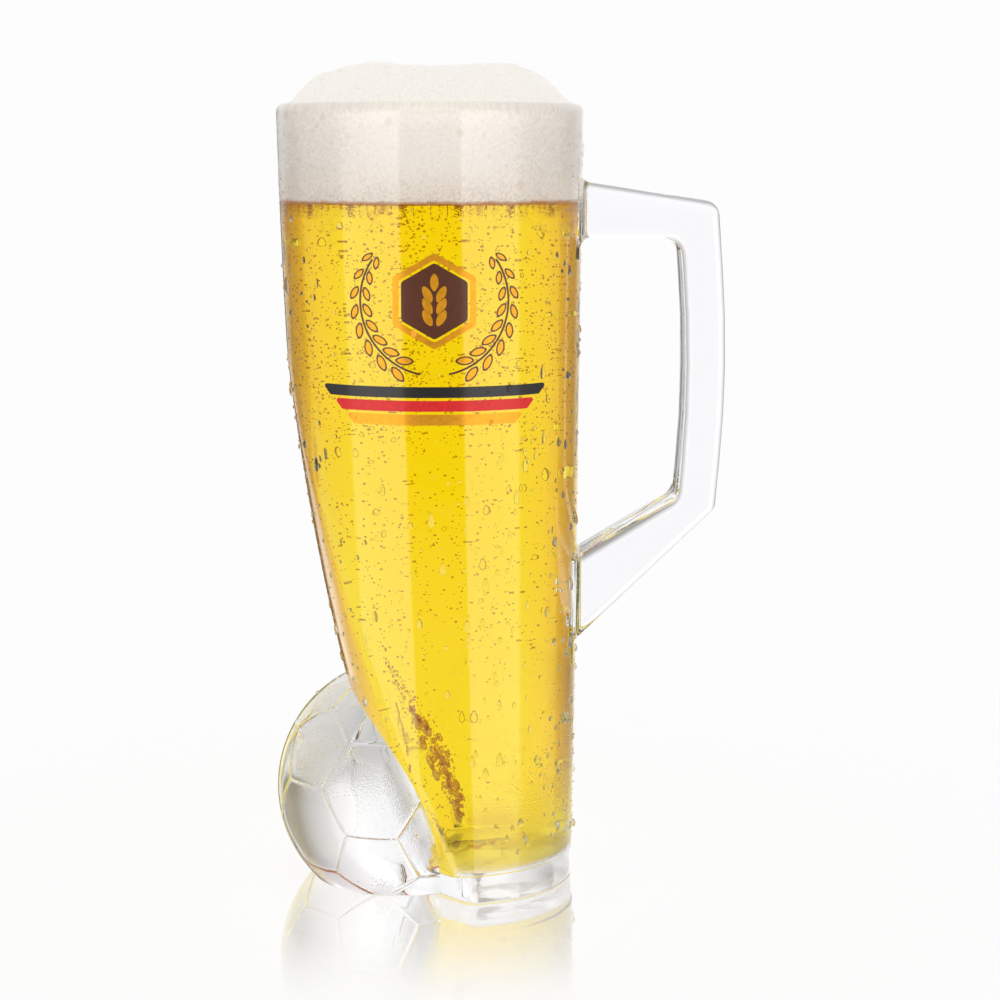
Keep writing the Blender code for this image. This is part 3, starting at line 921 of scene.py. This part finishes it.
def layOnGlass(piece, shell, name, material, nodes):
    cutter = shell.copy()
    cutter.data = shell.data.copy()
    bpy.context.collection.objects.link(cutter)
    applyBoolean(piece, cutter, "INTERSECT")
    finishPiece(piece, name, material, nodes, angle=20)


def hexagon(radius):
    z, corner = decal["emblemZ"], decal["fieldRound"]
    points = []
    for step in range(6):
        angle = math.pi / 6 + step * math.pi / 3
        points.append((decal["x"] + radius * math.cos(angle), z + radius * math.sin(angle), corner))
    return roundedOutline(points)


# a lens with two pointed ends
def lensOutline(centre, along, out):
    points = []
    for step in range(decal["lensPoints"]):
        turn = 2 * math.pi * step / decal["lensPoints"]
        across = math.sin(turn) * abs(math.sin(turn)) ** decal["lensPower"]
        points.append(centre + along * math.cos(turn) + out * across)
    return points


def kernelOutline(share, side, mirror, shrink):
    angle = math.radians(lerp(decal["earStart"], decal["earEnd"], share))
    along = Vector((math.sin(angle), -math.cos(angle)))
    out = Vector((math.cos(angle), math.sin(angle)))
    tilt = Matrix.Rotation(-side * math.radians(decal["kernelTilt"]), 2)
    size = math.sqrt(1 - decal["tipSmaller"] * share)
    centre = out * (decal["earArc"] + side * decal["kernelOut"] * size)
    half = decal["kernelLength"] / 2 * size - shrink * decal["endOutline"]
    wide = decal["kernelWidth"] / 2 * size - shrink
    points = lensOutline(centre, tilt @ along * half, tilt @ out * wide)
    return [(decal["x"] + mirror * point.x, decal["emblemZ"] + point.y) for point in points]


def stalkOutline(mirror):
    edges = ([], [])
    start, end = decal["earStart"] + decal["stalkShort"][0], decal["earEnd"] + decal["stalkShort"][1]
    for share in shares(decal["stalkSteps"]):
        angle = math.radians(lerp(start, end, share))
        for edge, half in zip(edges, (decal["stalk"] / 2, -decal["stalk"] / 2)):
            reach = decal["earArc"] + half
            x = decal["x"] + mirror * reach * math.cos(angle)
            edge.append((x, decal["emblemZ"] + reach * math.sin(angle)))
    return edges[0] + edges[1][::-1]


def earKernels(mirror, shrink):
    kernels = []
    for step in range(decal["kernels"]):
        share = (step + 0.5) / decal["kernels"]
        for side in (1, -1):
            kernels.append(makePrism(kernelOutline(share, side, mirror, shrink)))
    return joinPrisms(kernels)


# a small upright ear in the middle of the field
def motifKernels():
    kernels = []
    half, wide = decal["motifLength"] / 2, decal["motifWidth"] / 2
    low = decal["emblemZ"] - decal["motifPitch"] * (decal["motifRows"] - decal["motifRaise"]) / 2
    for row in range(decal["motifRows"] + 1):
        z = low + row * decal["motifPitch"]
        for side in (1, -1) if row < decal["motifRows"] else (0,):
            tilt = Matrix.Rotation(-side * math.radians(decal["motifTilt"]), 2)
            centre = Vector((decal["x"] + side * decal["motifOut"], z))
            outline = lensOutline(centre, tilt @ Vector((0, half)), tilt @ Vector((wide, 0)))
            kernels.append(makePrism(outline))
    return joinPrisms(kernels)


def barOutline(place):
    top = decal["barTop"] - place * decal["barPitch"]
    half = (decal["barLength"] - place * decal["barShorter"]) / 2
    low, short = top - decal["barHeight"], half - decal["barSlant"]
    corners = ((-half, top), (half, top), (short, low), (-short, low))
    return roundedOutline([(decal["x"] + x, z, decal["barRound"]) for x, z in corners])


def makePrint():
    shell = makePrintShell()
    field = makePrism(hexagon(decal["field"]))
    applyBoolean(field, motifKernels(), "DIFFERENCE")
    layOnGlass(motifKernels(), shell, "printMotif", goldEnamel, ())
    layOnGlass(field, shell, "printField", brownEnamel, ("print_field",))
    ring = makePrism(hexagon(decal["ringOuter"]))
    applyBoolean(ring, makePrism(hexagon(decal["ringInner"])), "DIFFERENCE")
    layOnGlass(ring, shell, "printRing", goldEnamel, ("print_ring",))
    for name, mirror in (("Left", 1), ("Right", -1)):
        rims = earKernels(mirror, 0.0)
        applyBoolean(rims, earKernels(mirror, decal["outline"]), "DIFFERENCE")
        node = "print_ear_" + name.lower()
        layOnGlass(rims, shell, "printEar" + name, brownEnamel, (node,))
        grain = earKernels(mirror, decal["outline"])
        layOnGlass(grain, shell, "printGrain" + name, goldEnamel, ())
        stalk = makePrism(stalkOutline(mirror))
        layOnGlass(stalk, shell, "printStalk" + name, brownEnamel, ())
    enamels = (("Black", blackEnamel), ("Red", redEnamel), ("Gold", goldEnamel))
    for place, (name, material) in enumerate(enamels):
        bar = makePrism(barOutline(place))
        slot, node = name.lower() + "_enamel", "print_bar_" + name.lower()
        layOnGlass(bar, shell, "printBar" + name, material, (node,))
    bpy.data.objects.remove(shell)


makePrint()

# water that has condensed on the outside: large runs, small beads and fine mist
wet = {
    # seed: segments, rings, narrowing; zones: extra chance, from and to angle, from and to height
    "runs": {
        "seed": (10, 8, 0.32), "count": 230, "heights": (0.012, 0.176), "sizes": (0.0006, 0.0014),
        "power": 2, "wide": 0.66, "tall": (0.8, 1.7), "thick": 0.64, "least": 0.2,
        "edge": 0, "edgePower": 1, "zones": ((0.8, -80, -12, 0, 0.14),),  # most beside the handle
    },
    "beads": {
        "seed": (8, 6, 0.1), "count": 560, "heights": (0.01, 0.197), "sizes": (0.00022, 0.0006),
        "power": 2, "wide": 1, "tall": (0.9, 1.3), "thick": 0.85, "least": 0.25,
        "edge": 0.75, "edgePower": 3, "zones": (),  # most at both edges
    },
    "mist": {
        "seed": (6, 5, 0.0), "count": 3600, "heights": (0.01, 0.198), "sizes": (0.00012, 0.00026),
        "power": 1, "wide": 1, "tall": None, "thick": 0.55, "least": 0.06, "edge": 0.9, "edgePower": 6,
        "zones": ((0.7, -180, 180, 0.172, 1), (0.3, -180, 180, 0, 0.04)),  # by the froth, by the foot
    },
    # beads one above the other at both sides of the froth
    "columns": {
        "count": 26, "angles": (-24, -156), "sway": 1.2, "heights": (0.181, 0.199),
        "sizes": (0.0003, 0.0006), "tall": 1.2, "thick": 0.75,
    },
    # direction from the ball's middle and spread of each patch
    "ballMist": {
        "count": 900, "lowest": 0.003, "castFrom": 0.05, "offGlass": 0.0005,
        "ways": (((-0.59, -0.72, 0.36), 0.17), ((-0.1, -0.7, -0.7), 0.1), ((-0.5, 0.7, 0.4), 0.2)),
    },
    "castFrom": 0.09, "offGlass": 0.0008, "sink": 0.03, "cut": -0.35, "flatter": 0.6,
}


def makeDropSeed(segments, rings, narrow):
    deselect()
    bpy.ops.mesh.primitive_uv_sphere_add(segments=segments, ring_count=rings, radius=1)
    seed = bpy.context.object
    editMode()
    selectMesh()
    bpy.ops.mesh.bisect(
        plane_co=(0, 0, wet["cut"]), plane_no=(0, 0, 1), use_fill=True, clear_inner=True,
    )
    faceOutwards()
    objectMode()
    for vertex in seed.data.vertices:  # a run is narrower at its upper end
        vertex.co.x *= 1 - narrow * vertex.co.y
        vertex.co.z *= 1 - narrow * wet["flatter"] * vertex.co.y
    return seed


# where a level ray towards the cup's axis meets the glass, as a place for a drop
def dropPlace(angle, z, wide, tall, thick):
    centre = Vector((legAt(z)[0], 0.0, z))
    way = Vector((math.cos(angle), math.sin(angle), 0.0))
    point, normal = mugTree.ray_cast(centre + way * wet["castFrom"], -way)[:2]
    if point is None or (point - centre).length > legAt(z)[1] + wet["offGlass"]:
        return None
    if abs(point.y) + thick > cadHigh[1]:  # none stands out past the rim
        return None
    return dropFrame(point, normal, wide, tall, thick)


def dropFrame(point, normal, wide, tall, thick):
    upward = (Vector((0, 0, 1)) - normal * normal.z).normalized()
    side = upward.cross(normal)
    turn = Matrix((side, upward, normal)).transposed().to_4x4()
    place = Matrix.Translation(point - normal * thick * wet["sink"])
    return place @ turn @ Matrix.Diagonal((wide, tall, thick, 1))


# the chance that a drop stays where it was thrown
def dropChance(kind, angle, z):
    chance = kind["least"] + kind["edge"] * abs(math.cos(angle)) ** kind["edgePower"]
    for extra, fromAngle, toAngle, low, high in kind["zones"]:
        chance += extra * (fromAngle < math.degrees(angle) < toAngle) * (low < z < high)
    return chance


def scatterDrops(kind):
    places = []
    while len(places) < kind["count"]:
        angle = random.uniform(-math.pi, math.pi)
        z = random.uniform(*kind["heights"])
        if random.random() > dropChance(kind, angle, z):
            continue
        size = lerp(*kind["sizes"], random.random() ** kind["power"])
        tall = random.uniform(*kind["tall"]) if kind["tall"] else 1
        place = dropPlace(angle, z, size * kind["wide"], size * tall, size * kind["thick"])
        if place:
            places.append(place)
    return places


def columnDrops(columns):
    places = []
    for step in range(columns["count"]):
        sway = random.uniform(-columns["sway"], columns["sway"])
        angle = math.radians(columns["angles"][step % 2] + sway)
        size = random.uniform(*columns["sizes"])
        z = random.uniform(*columns["heights"])
        place = dropPlace(angle, z, size, size * columns["tall"], size * columns["thick"])
        if place:
            places.append(place)
    return places


def ballDrops(patches, kind):
    places = []
    for step in range(patches["count"]):
        middle, spread = patches["ways"][step % len(patches["ways"])]
        shift = Vector([random.gauss(0, spread) for axis in range(3)])
        way = (Vector(middle) + shift).normalized()
        point, normal = mugTree.ray_cast(ballCentre + way * patches["castFrom"], -way)[:2]
        size = lerp(*kind["sizes"], random.random())
        if point is None or (point - ballCentre).length > ball["radius"] + patches["offGlass"]:
            continue
        if point.z > patches["lowest"] and point.x - size > cadLow[0]:
            places.append(dropFrame(point, normal, size, size, size * kind["thick"]))
    return places


def makeDrops():
    for name, kind in (("waterRuns", "runs"), ("waterBeads", "beads"), ("waterMist", "mist")):
        seed = makeDropSeed(*wet[kind]["seed"])
        places = scatterDrops(wet[kind])
        if kind == "beads":
            places += columnDrops(wet["columns"])
        if kind == "mist":
            places += ballDrops(wet["ballMist"], wet["mist"])
        finishPiece(copySeed(seed, places), name, waterMaterial, (), angle=60)


makeDrops()

# floor and light tent

tent = {
    "white": "#FDFDFD", "floorRadius": 0.36, "floorSides": 96, "gloss": 0.55, "glossFrom": 0.034,
    "glossTo": 0.115, "nearFrom": 0.02, "nearTo": 0.06, "ballShade": 0.2, "openFrom": 0.06, "openTo": 0.1,
    "warmFrom": 0.05, "warmTo": 0.11, "warm": "#D4BCB1", "softbox": 1.95, "screen": 0.06,
    "upperScreen": 0.62, "under": 0.45, "veilFrom": -0.2, "veilTo": -0.265, "veil": 0.42,
    "frothSide": 0.67, "frothFront": 0.9, "lookDown": 0.12,
    "beerTurns": 4.5,  # a ray that has passed more walls than this has come through the beer
    "once": 0.5,  # less than one turn of its kind
    # from straight behind to the side: white, grey flag
    "flags": (
        (0.0, 1.0), (0.22, 1.0), (0.38, 0.82), (0.56, "#C7C6C6"), (0.72, "#908E8B"), (0.95, "#908E8B"),
        (1.0, "#C4C4C4"),
    ),
    # the same way: white, amber card
    "cards": (
        (0.0, 1.0), (0.3, 1.0), (0.435, "#FFEFE1"), (0.54, "#EBCBA0"), (0.69, "#C59959"),
        (0.8, "#AD8145"), (0.92, "#B89055"), (1.0, "#E7CE95"),
    ),
    # from the front to the back, as shares of the soft boxes' light
    "boxes": (
        (0.0, 0.02), (0.03, 0.03), (0.047, 1.0), (0.29, 1.0), (0.36, 0.2564), (0.62, 0.2564),
        (0.71, 0.1026), (0.9, 0.1026), (0.95, 0.5128),
    ),
}


# white acrylic table top: matte white with a polished sheen close round the mug
def makeFloorMaterial():
    material, add = newMaterial("whiteAcrylic")
    place = add("TexCoord").outputs["Object"]
    path = add("LightPath").outputs
    centred = add("Mapping", {"Vector": place, "Location": (0.0128, 0, 0)})
    away = add("VectorMath", {0: centred}, operation="LENGTH")
    sheen = add("MapRange", {
        "Value": away, "From Min": tent["glossFrom"], "From Max": tent["glossTo"],
        "To Min": tent["gloss"], "To Max": 0.0,
    }, interpolation_type="SMOOTHSTEP")
    atBall = add("Mapping", {"Vector": place, "Location": (0.036, -0.055, 0)})
    fromBall = add("VectorMath", {0: atBall}, operation="LENGTH")
    far = add("MapRange", {
        "Value": fromBall, "From Min": tent["nearFrom"], "From Max": tent["nearTo"],
    }, interpolation_type="SMOOTHSTEP")
    level = add("MapRange", {
        "Value": away, "From Min": 0.08, "From Max": 0.3, "To Min": 0.8, "To Max": 1.0,
    }, interpolation_type="SMOOTHSTEP")
    matte = add("BsdfDiffuse", {"Color": hexColor(tent["white"])})
    polish = add("BsdfGlossy", {"Color": hexColor("#FFFFFF"), "Roughness": 0.03})
    # through clear glass the ball's own shade on the table is seen, through the beer it is hidden
    deep = add("Math", {0: path["Transmission Depth"], 1: tent["beerTurns"]}, operation="GREATER_THAN")
    bare = add("Math", {0: deep, 1: path["Is Camera Ray"]}, operation="MAXIMUM")
    lit = add("Math", {0: far, 1: bare}, operation="MAXIMUM")
    glow = add("MapRange", {"Value": lit, "To Min": tent["ballShade"], "To Max": 1.0})
    # light that came through the beer lies amber on the table close round the foot
    close = add("MapRange", {
        "Value": away, "From Min": tent["warmTo"], "From Max": tent["warmFrom"],
    }, interpolation_type="SMOOTHSTEP")
    amber = add("Math", {0: deep, 1: close}, operation="MULTIPLY")
    tinted = add("Mix", {
        0: amber, "A": hexColor(tent["white"]), "B": hexColor(tent["warm"]),
    }, data_type="RGBA")
    white = add("Emission", {"Color": tinted, "Strength": glow})
    through = add("Math", {
        0: path["Is Transmission Ray"], 1: path["Is Camera Ray"],
    }, operation="ADD", use_clamp=True)
    share = add("Math", {0: through, 1: level}, operation="MULTIPLY")
    plain = add("MixShader", {0: share, 1: matte, 2: white})
    top = add("MixShader", {0: sheen, 1: plain, 2: polish})
    # further off, the glass shows the tent in place of the table, so its edges keep their tone
    outside = add("MapRange", {
        "Value": away, "From Min": tent["openFrom"], "From Max": tent["openTo"],
    }, interpolation_type="SMOOTHSTEP")
    gone = add("Math", {0: path["Is Transmission Ray"], 1: outside}, operation="MULTIPLY")
    nothing = add("BsdfTransparent")
    table = add("MixShader", {0: gone, 1: top, 2: nothing})
    add("OutputMaterial", {"Surface": table})
    return material


def makeFloor():
    bpy.ops.mesh.primitive_circle_add(
        vertices=tent["floorSides"], radius=tent["floorRadius"], fill_type="NGON",
    )
    floor = bpy.context.object
    floor.name = "floor"
    floor.data.materials.append(makeFloorMaterial())
    floor.visible_glossy = False  # the glass mirrors the tent down to its foot


# a tone is a grey level or a colour
def setRamp(node, stops):
    elements = node.color_ramp.elements
    while len(elements) < len(stops):
        elements.new(0.5)
    for element, (place, tone) in zip(elements, stops):
        element.position = place
        element.color = hexColor(tone) if isinstance(tone, str) else (tone, tone, tone, 1)


# a white tent: a flag at each side draws the glass's edges, with two soft boxes in front and a low screen
def makeTent():
    world = bpy.data.worlds.new("lightTent")
    bpy.context.scene.world = world
    world.use_nodes = True
    world.node_tree.nodes.clear()
    add = partial(addNode, world.node_tree)
    way = add("TexCoord").outputs["Generated"]
    path = add("LightPath").outputs
    axes = add("SeparateXYZ", {"Vector": way}).outputs
    flatWay = add("CombineXYZ", {"X": axes["X"], "Y": axes["Y"], "Z": 0.0})
    unit = add("VectorMath", {0: flatWay}, operation="NORMALIZE")
    turned = add("SeparateXYZ", {"Vector": unit}).outputs
    plainWhite = hexColor("#FFFFFF")
    # what is seen through the glass
    sideways = add("Math", {0: turned["X"]}, operation="ABSOLUTE")
    flags = add("ValToRGB", {"Fac": sideways})
    setRamp(flags, tent["flags"])
    gold = add("ValToRGB", {"Fac": sideways})
    setRamp(gold, tent["cards"])
    deep = add("Math", {0: path["Transmission Depth"], 1: tent["beerTurns"]}, operation="GREATER_THAN")
    tilt = add("Math", {0: axes["Z"], 1: tent["lookDown"]}, operation="ADD")
    steep = add("Math", {0: tilt}, operation="ABSOLUTE")
    across = add("MapRange", {"Value": steep, "From Min": 0.4, "From Max": 0.25})
    straight = add("Math", {0: path["Glossy Depth"], 1: tent["once"]}, operation="LESS_THAN")
    direct = add("Math", {0: deep, 1: straight}, operation="MULTIPLY")
    golden = add("Math", {0: direct, 1: across}, operation="MULTIPLY")
    under = add("MapRange", {
        "Value": axes["Z"], "From Min": -0.5, "From Max": -0.25, "To Min": tent["under"], "To Max": 1.0,
    })
    shaded = add("Mix", {0: 1.0, "A": flags, "B": under}, data_type="RGBA", blend_type="MULTIPLY")
    cards = add("Mix", {0: golden, "A": shaded, "B": gold}, data_type="RGBA")
    high = add("MapRange", {"Value": axes["Z"], "From Min": 0.35, "From Max": 0.7})
    lifted = add("Mix", {0: high, "A": cards, "B": plainWhite}, data_type="RGBA")
    behind = add("MapRange", {"Value": turned["Y"], "From Min": -0.05, "From Max": 0.1})
    flagged = add("Mix", {0: behind, "A": plainWhite, "B": lifted}, data_type="RGBA")
    # what the glass mirrors
    backward = add("MapRange", {"Value": turned["Y"], "From Min": -1.0, "From Max": 1.0})
    boxes = add("ValToRGB", {"Fac": backward})
    setRamp(boxes, tent["boxes"])
    bright = add("Math", {0: boxes, 1: tent["softbox"]}, operation="MULTIPLY")
    # low down it is also the white table in front, which lies as a veil on the lower half
    veil = add("MapRange", {
        "Value": axes["Z"], "From Min": tent["veilFrom"], "From Max": tent["veilTo"],
        "To Max": tent["veil"],
    })
    bright = add("Math", {0: bright, 1: veil}, operation="ADD")
    low = add("MapRange", {"Value": axes["Z"], "From Min": 0.35, "From Max": 0.25})
    screen = add("MapRange", {
        "Value": axes["Z"], "From Min": 0.0, "From Max": 0.06, "To Min": tent["screen"],
        "To Max": tent["upperScreen"],
    })
    leftBack = add("MapRange", {"Value": turned["X"], "From Min": -0.02, "From Max": -0.06})
    screened = add("Math", {0: low, 1: leftBack}, operation="MULTIPLY")
    back = add("MapRange", {"Value": turned["Y"], "From Min": 0.93, "From Max": 0.96})
    shut = add("Math", {0: screened, 1: back}, operation="MULTIPLY")
    mirrored = add("Mix", {0: shut, "A": bright, "B": screen}, data_type="RGBA")
    # upwards it is the white roof, which the polished table mirrors too
    upward = add("MapRange", {"Value": axes["Z"], "From Min": 0.06, "From Max": 0.12})
    roofed = add("Mix", {0: upward, "A": mirrored, "B": plainWhite}, data_type="RGBA")
    seenGlassy = add("Mix", {
        0: path["Is Transmission Ray"], "A": roofed, "B": flagged,
    }, data_type="RGBA")
    glassy = add("Math", {
        0: path["Is Glossy Ray"], 1: path["Is Transmission Ray"],
    }, operation="ADD", use_clamp=True)
    # light that goes on to the froth comes from the whole tent
    seen = add("Math", {0: path["Diffuse Depth"], 1: tent["once"]}, operation="LESS_THAN")
    ahead = add("Math", {0: axes["Y"]}, operation="ABSOLUTE")
    lamp = add("Math", {
        0: ahead, 1: tent["frothFront"], 2: tent["frothSide"],
    }, operation="MULTIPLY_ADD")
    through = add("Mix", {0: glassy, "A": hexColor(tent["white"]), "B": lamp}, data_type="RGBA")
    carded = add("Math", {0: glassy, 1: seen}, operation="MULTIPLY")
    color = add("Mix", {0: carded, "A": through, "B": seenGlassy}, data_type="RGBA")
    light = add("Background", {"Color": color, "Strength": 1.0})
    add("OutputWorld", {"Surface": light})


makeFloor()
makeTent()
print("stage set")
